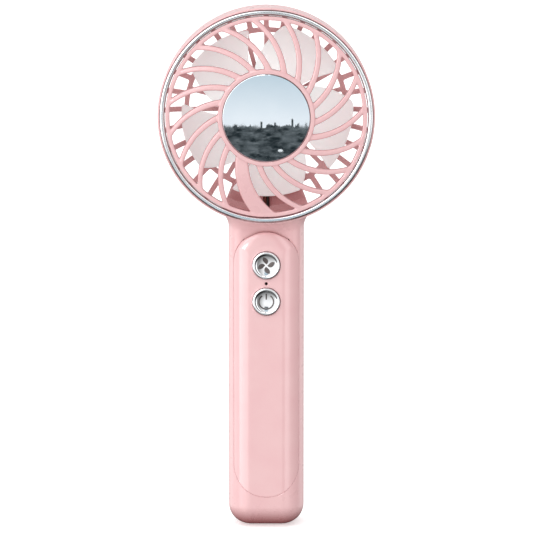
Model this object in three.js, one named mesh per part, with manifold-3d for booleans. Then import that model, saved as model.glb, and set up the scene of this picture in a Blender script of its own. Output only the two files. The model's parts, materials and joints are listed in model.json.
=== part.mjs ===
// Handheld electric fan with a round guarded head, a mirror in the guard's hub and two buttons
// on the handle. Millimetres, +Z up. The origin is the centre of the handle's flat foot, the
// fan axis is parallel to Y and the air leaves towards -Y, which is the front.
import * as THREE from "three";
import { mergeVertices } from "three/addons/utils/BufferGeometryUtils.js";
import Module from "manifold-3d";

const wasm = await Module();
wasm.setup();

// ---- Driving dimensions -------------------------------------------------------------------
const gap = 0.3;                   // clearance between neighbouring pieces
const beyond = 40;                 // past any piece along Y, for cutting tools
const drumSegments = 48;           // facets round the head's large rings

// Handle
const handleHalfWidth = 15.5;
const handleHalfDepth = 13.5;
const handleCorner = 9.5;          // radius of the handle's long edges
const footRound = 8.5;             // radius that runs round the foot
const shellWall = 1.9;
const panelWall = 1.8;
const cavityTopZ = 124;
const neckTopZ = 141;              // the handle's column ends here, behind the blades
const neckFrontY = -11;            // the neck's front face, set back from the panel

// Front panel of the handle, a long plate with two round ends
const panelHalfWidth = 13.3;
const panelTopZ = 123.6;
const panelFootZ = 12.7;
const panelShoulder = 3.2;         // rounding of its upper end

// Head, about the fan axis
const axisZ = 171;
const drumFrontR = 44.1;
const drumRearR = 43.85;
const drumInnerR = 42.2;
const drumFrontY = -16.7;
const ringSeatY = -15.2;           // the chrome ring lies on this ledge
const seamY = 1.2;                 // the front and rear shells meet here
const hubR = 14;                   // motor seat in the rear shell
const cageRingOuterR = 33.8;
const cageRingInnerR = 31.8;
const outerBarCount = 32;
const innerBarCount = 24;
const barWidth = 1.8;
const slotStartY = 3;              // the rear slots run onto the drum's side from here
const neckBlockHalfAngle = 23.5;   // degrees of the cage left solid above the handle
const neckBlockFrontY = 8;
const neckStrutHalfWidth = 4.6;    // the block's arm to the motor seat
const wireSlotHalfWidth = 1.3;     // channel in the arm for the motor's wires
const wireSlotBackY = 10.3;
const hubCapSeatR = 10.3;
const hubCapSeatY = 12;

// Front grille
const ribCount = 18;
const ribStep = 18.57;             // degrees
const ribFirst = 336.8;            // direction of the first rib's arc centre, degrees
const wideRibDirection = 315;
const ribArcR = 28.7;              // radius of each rib's arc
const ribArcOffset = 26.6;         // from the fan axis to the arc's centre
const ribWidth = 2.1;
const wideRibWidth = 6.2;
const ribDepth = 3;
const guardHubR = 19.7;
const guardRimR = 40.85;
const domeHeight = 3.4;            // how far the guard's hub stands in front of its rim
const ribBackY = -14.8;            // back of a rib where it meets the rim
const clipTurns = [45, 135, 225, 315];
const mirrorR = 17.7;
const mirrorFrontY = -21.8;

// Rotor and motor
const bladeCount = 5;
const bladeTipR = 34.5;
const bladeTipFlare = 1.4;         // how much further out the tip's leading corner stands
const bladeRootR = 12.4;
const bladeFrontY = -2.5;
const bladeRearY = 6.5;
const bladeThickness = 1.2;
const bladeCamber = 1.2;
const rotorHubR = 13;
const shaftR = 1;
const coilCount = 6;
const motorScrewR = 7;             // distance of the motor's screws from the axis
const motorScrewTurns = [90, 210, 330];
const wireR = 0.5;

// Controls
const speedButtonZ = 109.6;
const powerButtonZ = 94.6;
const ledZ = 102;
const buttonR = 5.6;
const boardFrontY = -6;
const boardThickness = 1.2;
const floorBackY = -9.9;           // back of the front shell's floor, under the panel
const ledR = 0.55;
const ledHoleR = 0.85;
const stemHoleR = 2.2;             // where a button's stem passes the floor
const usbZ = 94.9;

// Battery, an 18 mm by 65 mm round cell
const cellR = 9.2;
const cellY = 0.9;
const cellFootZ = 21.5;
const cellTopZ = 86.2;

// Screws
const screwPlaces = [[-6.5, 118.3], [6.5, 118.3], [-6, 17.5], [6, 17.5]];
const boardScrewPlaces = [[-7.2, ledZ], [7.2, ledZ]];
const screwHoleR = 1.1;
const screwHeadHoleR = 2.1;

// ---- Materials ----------------------------------------------------------------------------
function finish(color, roughness, metalness) {
  return new THREE.MeshStandardMaterial({ color, roughness, metalness });
}

const pinkPlastic = finish(0xf3c6c7, 0.22, 0);
const pearlPlastic = finish(0xf4e8eb, 0.3, 0);
const chrome = finish(0xe8e9ea, 0.08, 1);
const mirrorGlass = finish(0xdfe8ee, 0.03, 1);
const steel = finish(0xb9bcc0, 0.35, 1);
const bronze = finish(0xb08a4e, 0.4, 1);
const copper = finish(0xb4663a, 0.35, 1);
const magnetGrey = finish(0x4a4a4d, 0.6, 0.2);
const boardGreen = finish(0x1f5a3c, 0.5, 0);
const chipBlack = finish(0x1b1b1d, 0.45, 0);
const whitePlastic = finish(0xf0eeea, 0.4, 0);
const wrapBlue = finish(0x3a6ea8, 0.35, 0);
const foamGrey = finish(0x8c8c8c, 0.9, 0);
const redLens = finish(0x5a2a2c, 0.15, 0);
const redWire = finish(0xb02a24, 0.45, 0);
const blackWire = finish(0x232022, 0.45, 0);

// ---- Solids -------------------------------------------------------------------------------
function signedVolume(position, triangles) {
  const a = new THREE.Vector3();
  const b = new THREE.Vector3();
  const c = new THREE.Vector3();
  let sum = 0;
  for (let i = 0; i < triangles.length; i += 3) {
    a.fromArray(position, triangles[i] * 3);
    b.fromArray(position, triangles[i + 1] * 3);
    c.fromArray(position, triangles[i + 2] * 3);
    sum += a.dot(b.cross(c)) / 6;
  }
  return sum;
}

// Turns a closed geometry into a solid: merged corners, no empty triangles, faces outwards.
function solid(geometry) {
  const bare = geometry.clone();
  bare.deleteAttribute("normal");
  bare.deleteAttribute("uv");
  const merged = mergeVertices(bare, 1e-4);
  const index = merged.index.array;
  const position = new Float32Array(merged.attributes.position.array);
  const triangles = [];
  for (let i = 0; i < index.length; i += 3) {
    const [a, b, c] = index.slice(i, i + 3);
    if (a !== b && b !== c && c !== a) {
      triangles.push(a, b, c);
    }
  }
  if (signedVolume(position, triangles) < 0) {
    triangles.reverse();
  }
  return new wasm.Manifold(new wasm.Mesh({
    numProp: 3,
    vertProperties: position,
    triVerts: new Uint32Array(triangles),
  }));
}

function geometryOf(body) {
  const mesh = body.getMesh();
  const geometry = new THREE.BufferGeometry();
  const position = new THREE.BufferAttribute(new Float32Array(mesh.vertProperties), 3);
  geometry.setAttribute("position", position);
  geometry.setIndex(new THREE.BufferAttribute(new Uint32Array(mesh.triVerts), 1));
  geometry.computeVertexNormals();
  return geometry;
}

// A solid turned about a line parallel to Y at height z, from [radius, y] pairs. A profile that
// doesn't start on the axis closes on itself.
function turned(profile, segments = 48, z = 0) {
  const points = profile.map(([radius, y]) => new THREE.Vector2(radius, y));
  if (profile[0][0] > 0) {
    points.push(points[0].clone());
  }
  const geometry = new THREE.LatheGeometry(points, segments);
  geometry.translate(0, 0, z);
  return solid(geometry);
}

// A shape drawn across X and up Z, from its front face to its back face along Y.
function plate(shape, frontY, backY, curveSegments = 6) {
  const settings = { depth: backY - frontY, bevelEnabled: false, curveSegments };
  const geometry = new THREE.ExtrudeGeometry(shape, settings);
  geometry.rotateX(Math.PI / 2);
  geometry.translate(0, backY, 0);
  return solid(geometry);
}

// A shape drawn across X and Y, standing from footZ to topZ, with both ends rounded.
function column(shape, footZ, topZ, round) {
  const geometry = new THREE.ExtrudeGeometry(shape, {
    depth: topZ - footZ - 2 * round,
    bevelSize: round,
    bevelThickness: round,
    bevelOffset: -round,
    bevelSegments: 5,
    curveSegments: 3,
  });
  geometry.translate(0, 0, footZ + round);
  return solid(geometry);
}

function box([x0, x1], [y0, y1], [z0, z1]) {
  const geometry = new THREE.BoxGeometry(x1 - x0, y1 - y0, z1 - z0);
  geometry.translate((x0 + x1) / 2, (y0 + y1) / 2, (z0 + z1) / 2);
  return solid(geometry);
}

// A round pin along Y.
function pin(radius, frontY, backY, x = 0, z = 0, segments = 24) {
  const geometry = new THREE.CylinderGeometry(radius, radius, backY - frontY, segments);
  geometry.translate(x, (frontY + backY) / 2, z);
  return solid(geometry);
}

function tube(points, radius, steps, sides = 6) {
  const path = new THREE.CatmullRomCurve3(points.map((point) => new THREE.Vector3(...point)));
  const section = new THREE.Shape();
  section.absarc(0, 0, radius, 0, 2 * Math.PI);
  const settings = { steps, extrudePath: path, bevelEnabled: false, curveSegments: sides / 2 };
  return solid(new THREE.ExtrudeGeometry(section, settings));
}

function roundedRect([x0, x1], [y0, y1], radius) {
  const quarter = Math.PI / 2;
  const shape = new THREE.Shape();
  shape.absarc(x1 - radius, y0 + radius, radius, -quarter, 0);
  shape.absarc(x1 - radius, y1 - radius, radius, 0, quarter);
  shape.absarc(x0 + radius, y1 - radius, radius, quarter, 2 * quarter);
  shape.absarc(x0 + radius, y0 + radius, radius, 2 * quarter, 3 * quarter);
  shape.closePath();
  return shape;
}

function stadium(halfWidth, footZ, topZ) {
  const shape = new THREE.Shape();
  shape.absarc(0, topZ - halfWidth, halfWidth, 0, Math.PI);
  shape.absarc(0, footZ + halfWidth, halfWidth, Math.PI, 2 * Math.PI);
  shape.closePath();
  return shape;
}

function arch(halfWidth, footZ, topZ) {
  const shape = new THREE.Shape();
  shape.moveTo(-halfWidth, footZ);
  shape.lineTo(halfWidth, footZ);
  shape.absarc(0, topZ - halfWidth, halfWidth, 0, Math.PI);
  shape.closePath();
  return shape;
}

function radians(degrees) {
  return THREE.MathUtils.degToRad(degrees);
}

// A point at a distance from the axis, its angle counted from +X towards +Z.
function polar(radius, degrees) {
  return [radius * Math.cos(radians(degrees)), radius * Math.sin(radians(degrees))];
}

// ---- The scene graph ----------------------------------------------------------------------
const fan = new THREE.Group();
const head = new THREE.Group();
head.position.z = axisZ;
fan.add(head);

function place(group, name, body, material, position = [0, 0, 0], turn = 0) {
  const mesh = new THREE.Mesh(geometryOf(body), material);
  mesh.name = name;
  mesh.position.set(...position);
  mesh.rotation.y = turn;
  group.add(mesh);
}

// ---- Handle and shells --------------------------------------------------------------------
function handleSection(inset) {
  const halfWidth = handleHalfWidth - inset;
  const halfDepth = handleHalfDepth - inset;
  return roundedRect([-halfWidth, halfWidth], [-halfDepth, halfDepth], handleCorner - inset);
}

function handleColumn(inset) {
  return column(handleSection(inset), inset, neckTopZ - inset, footRound - inset);
}

const handleSolid = handleColumn(0);
const acrossAll = [-60, 60];
const upAll = [-10, 260];
const frontHalf = box(acrossAll, [-beyond, seamY - gap / 2], upAll);
const rearHalf = box(acrossAll, [seamY + gap / 2, beyond], upAll);
const buttonHeights = [speedButtonZ, powerButtonZ];

function frontCavity() {
  const inset = shellWall + panelWall;
  const halfWidth = handleHalfWidth - inset;
  const section = roundedRect([-halfWidth, halfWidth], [floorBackY, 10], handleCorner - inset);
  return column(section, inset, cavityTopZ, handleCorner - inset - 0.5);
}

function rearCavity() {
  const halfWidth = handleHalfWidth - shellWall;
  const section = roundedRect([-halfWidth, halfWidth], [-10, handleHalfDepth - shellWall], 7);
  return column(section, shellWall, cavityTopZ, 6.5);
}

function panelRecess() {
  const outline = stadium(panelHalfWidth + gap, panelFootZ - gap, panelTopZ + gap);
  return plate(outline, -beyond, -4, 8).subtract(handleColumn(panelWall + gap));
}

function drumBand() {
  const profile = [
    [drumInnerR, seamY - gap / 2],
    [drumRearR, seamY - gap / 2],
    [drumFrontR, drumFrontY + 0.7],
    [drumFrontR - 0.3, drumFrontY + 0.1],
    [drumFrontR - 0.75, drumFrontY],
    [drumFrontR - 0.75, ringSeatY],
    [drumInnerR - 0.8, ringSeatY],
    [drumInnerR - 0.8, ringSeatY + 1.5],
    [drumInnerR, ringSeatY + 1.5],
  ];
  return turned(profile, drumSegments, axisZ);
}

function frontShell() {
  let body = handleSolid.intersect(frontHalf);
  body = body.subtract(box(acrossAll, [-beyond, neckFrontY], [105, 150]));
  body = body.subtract(pin(drumInnerR + 0.5, -beyond, beyond, 0, axisZ, drumSegments));
  body = body.add(drumBand());
  body = body.subtract(frontCavity());
  for (const [x, z] of screwPlaces) {
    body = body.add(pin(2.9, floorBackY - 0.5, seamY - gap / 2 - 0.2, x, z, 12));
  }
  for (const [x, z] of boardScrewPlaces) {
    body = body.add(pin(1.5, floorBackY - 0.5, boardFrontY - gap, x, z, 8));
    body = body.subtract(pin(0.8, floorBackY + 0.3, 0, x, z, 8));
  }
  body = body.subtract(panelRecess());
  for (const [x, z] of screwPlaces) {
    body = body.subtract(pin(screwHeadHoleR, -beyond, floorBackY + 0.5, x, z, 12));
    body = body.subtract(pin(screwHoleR, -beyond, 10, x, z, 8));
  }
  for (const z of buttonHeights) {
    body = body.subtract(pin(stemHoleR, -beyond, floorBackY + 1, 0, z, 16));
  }
  return body.subtract(pin(ledHoleR, -beyond, floorBackY + 1, 0, ledZ, 12));
}

// The rear of the drum, as [radius, y] pairs from the seam to the middle.
const rearStartY = seamY + gap / 2;
const cageOutside = [
  [drumRearR, rearStartY], [drumRearR, 4.6], [41.2, 8.6], [33.8, 11.8], [hubR, 13], [0, 13],
];
const cageInside = [
  [drumInnerR, rearStartY], [drumInnerR, 4], [39, 7.7], [33.2, 10], [hubR, 10.4], [0, 10.4],
];

// The space between two straight bars that lead out from the axis, from innerR to outerR.
function slotBetweenBars(direction, pitch, innerR, outerR, width) {
  const half = radians(pitch / 2);
  const middle = radians(direction);
  const corners = [];
  for (const [radius, side] of [[innerR, -1], [outerR, -1], [outerR, 1], [innerR, 1]]) {
    const angle = middle + side * (half - Math.asin(width / 2 / radius));
    corners.push(new THREE.Vector2(radius * Math.cos(angle), radius * Math.sin(angle)));
  }
  return new THREE.Shape(corners);
}

// A plate drawn about the fan axis, from frontY to behind the cage.
function cagePlate(shape, frontY) {
  return plate(shape, frontY, beyond).translate([0, 0, axisZ]);
}

function isNeckBlock(direction) {
  return Math.abs(direction - 270) < neckBlockHalfAngle;
}

function rearSlots() {
  const slots = [];
  const outerPitch = 360 / outerBarCount;
  for (let i = 0; i < outerBarCount; i += 1) {
    const direction = (i + 0.5) * outerPitch;
    if (!isNeckBlock(direction)) {
      const outline = slotBetweenBars(direction, outerPitch, cageRingOuterR, 50, barWidth);
      slots.push(cagePlate(outline, slotStartY));
    }
  }
  const innerPitch = 360 / innerBarCount;
  for (let i = 0; i < innerBarCount; i += 1) {
    const direction = (i + 0.5) * innerPitch;
    if (Math.abs(direction - 270) > innerPitch) {
      const width = barWidth - 0.2;
      const outline = slotBetweenBars(direction, innerPitch, hubR + 0.4, cageRingInnerR, width);
      slots.push(cagePlate(outline, slotStartY));
    }
  }
  return slots;
}

// The solid part of the cage above the handle, with an arm up to the motor seat.
function neckBlock() {
  const filled = turned([[0, rearStartY], ...cageOutside], drumSegments, axisZ);
  const corners = [[cageRingInnerR, -1], [50, -1], [50, 1], [cageRingInnerR, 1]];
  const sector = new THREE.Shape(corners.map(([radius, side]) => {
    const [x, z] = polar(radius, 270 + side * neckBlockHalfAngle);
    return new THREE.Vector2(x, z);
  }));
  const arm = box(
    [-neckStrutHalfWidth, neckStrutHalfWidth],
    [neckBlockFrontY, beyond],
    [axisZ - 34, axisZ - hubR + 1],
  );
  return cagePlate(sector, neckBlockFrontY).add(arm).intersect(filled);
}

// The channel from the motor down into the handle, and the ridge that keeps the wires in it.
function wireSlot() {
  const slot = box(
    [-wireSlotHalfWidth, wireSlotHalfWidth],
    [neckBlockFrontY - 2, wireSlotBackY],
    [cavityTopZ - 3, axisZ - 11],
  );
  return slot.add(box([-2.4, 2.4], [0, wireSlotBackY], [cavityTopZ - 8, cavityTopZ + 1]));
}

function wireRidge() {
  const inner = wireSlotHalfWidth + 0.2;
  const depth = [neckBlockFrontY - 0.4, neckBlockFrontY + 1];
  return box([inner, inner + 0.4], depth, [axisZ - 41, axisZ - 35]);
}

function rearShell() {
  const drumWall = turned([...cageOutside, ...cageInside.toReversed()], drumSegments, axisZ);
  let body = handleSolid.intersect(rearHalf);
  body = body.subtract(pin(drumInnerR + 0.5, -beyond, neckBlockFrontY, 0, axisZ, drumSegments));
  body = body.add(drumWall).add(neckBlock());
  body = body.subtract(rearCavity());
  for (const slot of rearSlots()) {
    body = body.subtract(slot);
  }
  body = body.add(wireRidge());
  for (const [x, z] of screwPlaces) {
    body = body.add(pin(2.5, seamY + gap, handleHalfDepth - 1, x, z, 12));
    body = body.subtract(pin(screwHoleR, seamY - 5, handleHalfDepth - 4, x, z, 8));
  }
  body = body.subtract(wireSlot());
  body = body.subtract(pin(hubCapSeatR, hubCapSeatY, beyond, 0, axisZ, 32));
  for (const turn of motorScrewTurns) {
    const [x, z] = polar(motorScrewR, turn);
    body = body.subtract(pin(1.7, 11.2, beyond, x, axisZ + z, 12));
    body = body.subtract(pin(1, 5, beyond, x, axisZ + z, 12));
  }
  const usbOpening = roundedRect([-4.8, 4.8], [usbZ - 1.95, usbZ + 1.95], 1.9);
  return body.subtract(plate(usbOpening, 9, beyond, 2));
}

function frontPanel() {
  const outline = plate(stadium(panelHalfWidth, panelFootZ, panelTopZ), -beyond, -4, 8);
  const shoulderDepth = 20;
  const shoulder = new THREE.ExtrudeGeometry(arch(panelHalfWidth, -beyond, panelTopZ), {
    depth: shoulderDepth,
    bevelSize: panelShoulder,
    bevelThickness: panelShoulder,
    bevelOffset: -panelShoulder,
    bevelSegments: 3,
    curveSegments: 8,
  });
  shoulder.rotateX(Math.PI / 2);
  shoulder.translate(0, shoulderDepth - handleHalfDepth + panelShoulder, 0);
  let body = handleSolid.intersect(outline).intersect(solid(shoulder));
  body = body.subtract(handleColumn(panelWall));
  for (const z of buttonHeights) {
    body = body.subtract(pin(buttonR + gap, -beyond, -4, 0, z, 32));
  }
  return body.subtract(pin(ledHoleR, -beyond, -4, 0, ledZ, 12));
}

// ---- Front guard --------------------------------------------------------------------------
// How far the guard stands in front of its rim at a distance from the axis.
function domeAt(radius) {
  const reach = THREE.MathUtils.clamp((radius - guardHubR) / (guardRimR - guardHubR), 0, 1);
  return domeHeight * (1 - reach ** 1.6);
}

// One curved rib, an arc of constant width between hub and rim, bent back to the guard's dome.
function rib(direction, width) {
  const arcAngle = (radius) => {
    const cosine = (ribArcOffset ** 2 + ribArcR ** 2 - radius ** 2) / (2 * ribArcOffset * ribArcR);
    return radians(direction) - Math.PI + Math.acos(cosine);
  };
  const centre = polar(ribArcOffset, direction);
  const start = arcAngle(guardHubR - 4);
  const end = arcAngle(guardRimR + 3);
  const shape = new THREE.Shape();
  shape.absarc(centre[0], centre[1], ribArcR + width / 2, start, end, false);
  shape.absarc(centre[0], centre[1], ribArcR - width / 2, end, start, true);
  shape.closePath();
  const settings = { depth: ribDepth, bevelEnabled: false, curveSegments: 3 };
  const geometry = new THREE.ExtrudeGeometry(shape, settings);
  geometry.rotateX(Math.PI / 2);
  const position = geometry.attributes.position;
  for (let i = 0; i < position.count; i += 1) {
    const radius = Math.hypot(position.getX(i), position.getZ(i));
    position.setY(i, position.getY(i) + ribBackY - domeAt(radius));
  }
  return solid(geometry);
}

function frontGrille() {
  let body = turned([
    [0, -17.2], [19.2, -17.2], [guardHubR, -17.8], [guardHubR, -20.9], [19.3, -21.5],
    [18.7, -21.7], [18, -21.5], [18, -19.2], [0, -19.2],
  ], 32);
  body = body.add(turned([
    [39.2, -14.5], [guardRimR, -14.5], [guardRimR, -17.4], [40.2, -18.1], [39.2, -17.4],
  ], drumSegments));
  let ribs = rib(wideRibDirection, wideRibWidth);
  for (let i = 0; i < ribCount; i += 1) {
    ribs = ribs.add(rib(ribFirst + i * ribStep, ribWidth));
  }
  const hubEdge = guardHubR - 1;
  const rimEdge = guardRimR - 0.5;
  const reach = turned([[hubEdge, -30], [rimEdge, -30], [rimEdge, -10], [hubEdge, -10]], 32);
  body = body.add(ribs.intersect(reach));
  for (const turn of clipTurns) {
    body = body.add(guardClip(turn));
  }
  return body;
}

// A snap tab on the guard's rim that hooks behind the drum's ledge.
function guardClip(turn) {
  const rimTab = new THREE.BoxGeometry(1.2, 3.4, 5);
  rimTab.translate(40, -13.1, 0);
  const hook = new THREE.BoxGeometry(1.8, 1.2, 5);
  hook.translate(40.6, -12, 0);
  const angle = -radians(turn);
  return solid(rimTab.rotateY(angle)).add(solid(hook.rotateY(angle)));
}

function chromeRing() {
  return turned([
    [41.15, -15.5], [41.15, -17.1], [41.75, -18.1], [42.45, -18.1], [43.05, -17.1], [43.05, -15.5],
  ], drumSegments);
}

// ---- Rotor --------------------------------------------------------------------------------
// Angles of a blade's two edges at a distance from the axis, in degrees.
function trailingEdge(radius) {
  return 38.9 - 0.58 * (radius - 18.4);
}

function leadingEdge(radius) {
  return 104.5 - 1.53 * (radius - 18.4);
}

// The tip's distance from the axis, from the trailing edge (chord 0) to the leading edge (1).
function tipRadius(chord) {
  return bladeTipR + bladeTipFlare * chord;
}

// A cambered blade: a flat box whose length becomes the radius and whose depth the chord.
function blade(turn) {
  const geometry = new THREE.BoxGeometry(1, 1, 1, 3, 1, 5);
  const position = geometry.attributes.position;
  for (let i = 0; i < position.count; i += 1) {
    const along = position.getX(i) + 0.5;
    const chord = position.getZ(i) + 0.5;
    const radius = THREE.MathUtils.lerp(bladeRootR, tipRadius(chord), along);
    const angle = turn + THREE.MathUtils.lerp(trailingEdge(radius), leadingEdge(radius), chord);
    const [x, z] = polar(radius, angle);
    const middle = THREE.MathUtils.lerp(bladeFrontY, bladeRearY, chord);
    const camber = bladeCamber * Math.sin(Math.PI * chord);
    position.setXYZ(i, x, middle + camber + position.getY(i) * bladeThickness, z);
  }
  return solid(geometry);
}

function impeller() {
  let body = turned([
    [0, -7.4], [11.8, -7.4], [rotorHubR, -6.2], [rotorHubR, 6.4], [11.3, 6.4],
    [11.3, -5.6], [1.3, -5.6], [1.3, -6.6], [0, -6.6],
  ], 32);
  for (let i = 0; i < bladeCount; i += 1) {
    body = body.add(blade((i * 360) / bladeCount));
  }
  return body;
}

function makeRotor() {
  place(head, "impeller", impeller(), pearlPlastic);
  const cup = [[1.15, -5.3], [10.9, -5.3], [10.9, 5.4], [10.2, 5.4], [10.2, -4.5], [1.15, -4.5]];
  place(head, "rotor_cup", turned(cup, 28), steel);
  const magnet = [[8.7, -1.8], [9.9, -1.8], [9.9, 5.1], [8.7, 5.1]];
  place(head, "rotor_magnet", turned(magnet, 28), magnetGrey);
  place(head, "motor_shaft", pin(shaftR, -6.3, 8.7, 0, 0, 16), steel);
  const clip = [[shaftR + 0.1, 8.25], [1.9, 8.25], [1.9, 8.55], [shaftR + 0.1, 8.55]];
  place(head, "shaft_clip", turned(clip, 12), steel);
}

// ---- Motor's fixed pieces -----------------------------------------------------------------
function statorCore() {
  let body = turned([[3.75, -1.5], [4.9, -1.5], [4.9, 4.5], [3.75, 4.5]], 20);
  for (let i = 0; i < coilCount; i += 1) {
    const tooth = new THREE.BoxGeometry(2, 6, 3.4);
    tooth.translate(0, 1.5, 6.1);
    const shoe = new THREE.BoxGeometry(5.6, 6, 0.7);
    shoe.translate(0, 1.5, 7.55);
    const angle = (i * 2 * Math.PI) / coilCount;
    body = body.add(solid(tooth.rotateY(angle))).add(solid(shoe.rotateY(angle)));
  }
  return body;
}

function makeMotor() {
  const base = [
    [0, 9.3], [2.65, 9.3], [2.65, -3.3], [3.5, -3.3], [3.5, 8.9], [10.5, 8.9], [10.5, 9.9], [0, 9.9],
  ];
  let baseBody = turned(base, 24);
  for (const turn of motorScrewTurns) {
    const [x, z] = polar(motorScrewR, turn);
    baseBody = baseBody.subtract(pin(0.9, 8, 11, x, z, 8));
  }
  place(head, "motor_base", baseBody, steel);
  const bearing = [[shaftR + 0.08, -1], [2.5, -1], [2.5, 1], [shaftR + 0.08, 1]];
  const bearingBody = turned(bearing, 20);
  place(head, "front_bearing", bearingBody, bronze, [0, -2.1, 0]);
  place(head, "rear_bearing", bearingBody, bronze, [0, 7, 0]);
  place(head, "stator_core", statorCore(), steel);
  const coilHole = box([-1.15, 1.15], [-1.65, 4.65], [4, 8]);
  const coil = box([-2, 2], [-2.5, 5.5], [5.1, 6.9]).subtract(coilHole);
  for (let i = 0; i < coilCount; i += 1) {
    place(head, `stator_coil_${i + 1}`, coil, copper, [0, 0, 0], (i * 2 * Math.PI) / coilCount);
  }
  place(head, "motor_board", turned([[3.8, 7.2], [10, 7.2], [10, 8.2], [3.8, 8.2]], 24), boardGreen);
  const screw = turned([[0, 9.2], [0.7, 9.2], [0.7, 11.4], [1.4, 11.4], [1.4, 12], [0, 12]], 10);
  motorScrewTurns.forEach((turn, i) => {
    const [x, z] = polar(motorScrewR, turn);
    place(head, `motor_screw_${i + 1}`, screw, steel, [x, 0, z]);
  });
}

function makeMotorWires() {
  const materials = { red: redWire, black: blackWire };
  for (const [colour, side] of [["red", -1], ["black", 1]]) {
    const path = [
      [side * 0.62, 7.7, axisZ - 10.9],
      [side * 0.62, 8.9, axisZ - 13],
      [side * 0.62, 9.4, axisZ - 18],
      [side * 0.62, 9.4, axisZ - 41],
      [side * 0.75, 9, cavityTopZ],
      [side * 1.6, 3.5, 119],
      [side * 2.6, -1.8, 115],
      [side * 3, -4.2, 112.5],
    ];
    place(fan, `motor_wire_${colour}`, tube(path, wireR, 16), materials[colour]);
  }
}

// ---- Controls -----------------------------------------------------------------------------
function buttonCap() {
  return turned([
    [0, -13.55], [4.2, -13.85], [4.6, -14.4], [5, -14.6], [5.4, -14.4], [buttonR, -13.9],
    [buttonR, -12.4], [1.8, -12.4], [1.8, -8.4], [0, -8.4],
  ], 24);
}

function makeControls() {
  const plungerHole = pin(1.3, -9, -6.5, 0, 0, 12);
  const housing = box([-2.2, 2.2], [-7.6, -6.3], [-2.2, 2.2]).subtract(plungerHole);
  for (const [name, z] of [["speed", speedButtonZ], ["power", powerButtonZ]]) {
    place(fan, `${name}_button`, buttonCap(), chrome, [0, 0, z]);
    place(fan, `${name}_switch_plunger`, pin(1, -8.1, -7.1, 0, 0, 12), chipBlack, [0, 0, z]);
    place(fan, `${name}_switch`, housing, steel, [0, 0, z]);
  }
  let board = box([-9.5, 9.5], [boardFrontY, boardFrontY + boardThickness], [89, 114.5]);
  for (const [x, z] of boardScrewPlaces) {
    board = board.subtract(pin(0.9, -10, 0, x, z, 8));
  }
  place(fan, "control_board", board, boardGreen);
  const backY = boardFrontY + boardThickness + gap;
  const screw = turned([
    [0, -9.4], [0.6, -9.4], [0.6, backY], [1.3, backY], [1.3, backY + 0.8], [0, backY + 0.8],
  ], 8);
  boardScrewPlaces.forEach(([x, z], i) => {
    place(fan, `board_screw_${i + 1}`, screw, steel, [x, 0, z]);
  });
  place(fan, "motor_driver_chip", box([-3, 2], [backY, backY + 1], [103.5, 108.5]), chipBlack);
  place(fan, "charge_chip", box([-5, -1], [backY, backY + 1], [96, 100.5]), chipBlack);
  place(fan, "power_inductor", box([1.5, 6.5], [backY, backY + 2.6], [94, 99]), magnetGrey);
  place(fan, "led_chip", box([-0.8, 0.8], [-7, -6.3], [ledZ - 0.5, ledZ + 0.5]), whitePlastic);
  place(fan, "led_lens", pin(ledR, -13.3, -7.4, 0, ledZ, 12), redLens);
}

function makeCharging() {
  const outside = roundedRect([-4.45, 4.45], [usbZ - 1.6, usbZ + 1.6], 1.55);
  const inside = roundedRect([-4.15, 4.15], [usbZ - 1.3, usbZ + 1.3], 1.25);
  const shell = plate(outside, 5.2, 12.9, 2).subtract(plate(inside, 0, 20, 2));
  place(fan, "usb_socket_shell", shell, steel);
  const tongue = box([-3.3, 3.3], [5.6, 12], [usbZ - 0.35, usbZ + 0.35]);
  const root = box([-3.4, 3.4], [5.3, 6.6], [usbZ - 1, usbZ + 1]);
  place(fan, "usb_socket_tongue", tongue.add(root), chipBlack);
  place(fan, "charging_board", box([-6.5, 6.5], [1.5, 11], [91.9, 92.9]), boardGreen);
}

// ---- Battery ------------------------------------------------------------------------------
function makeBattery() {
  const profile = [
    [0, cellFootZ], [cellR - 0.4, cellFootZ], [cellR, cellFootZ + 0.5], [cellR, cellTopZ - 3.2],
    [cellR - 0.5, cellTopZ - 2.6], [cellR, cellTopZ - 2], [cellR, cellTopZ - 0.5],
    [cellR - 0.6, cellTopZ], [3.4, cellTopZ], [3.2, cellTopZ + 0.8], [0, cellTopZ + 0.8],
  ];
  const points = profile.map(([radius, z]) => new THREE.Vector2(radius, z));
  const geometry = new THREE.LatheGeometry(points, 24);
  geometry.rotateX(Math.PI / 2);
  geometry.translate(0, cellY, 0);
  place(fan, "battery_cell", solid(geometry), wrapBlue);
  const topTab = box([-4.5, 4.5], [cellY - 2.5, cellY + 2.5], [cellTopZ + 1.1, cellTopZ + 1.4]);
  place(fan, "battery_tab_positive", topTab, steel);
  const footTab = box([-4.5, 4.5], [cellY - 2.5, cellY + 2.5], [cellFootZ - 0.6, cellFootZ - 0.3]);
  place(fan, "battery_tab_negative", footTab, steel);
  place(fan, "battery_pad", box([-5, 5], [cellY + cellR + gap, 11.3], [35, 74]), foamGrey);
  const redPath = [[3, 0, 88.2], [3.2, -1.6, 89.6], [3.6, -3, 91], [3.8, -4.1, 92.5]];
  place(fan, "battery_wire_red", tube(redPath, wireR, 5), redWire);
  const blackPath = [
    [-9.7, -0.6, 20.4], [-10.7, -1.6, 25], [-10.8, -1.8, 60], [-10.3, -2, 84],
    [-8, -3, 90], [-6.6, -4.1, 93],
  ];
  place(fan, "battery_wire_black", tube(blackPath, wireR, 12), blackWire);
}

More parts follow.
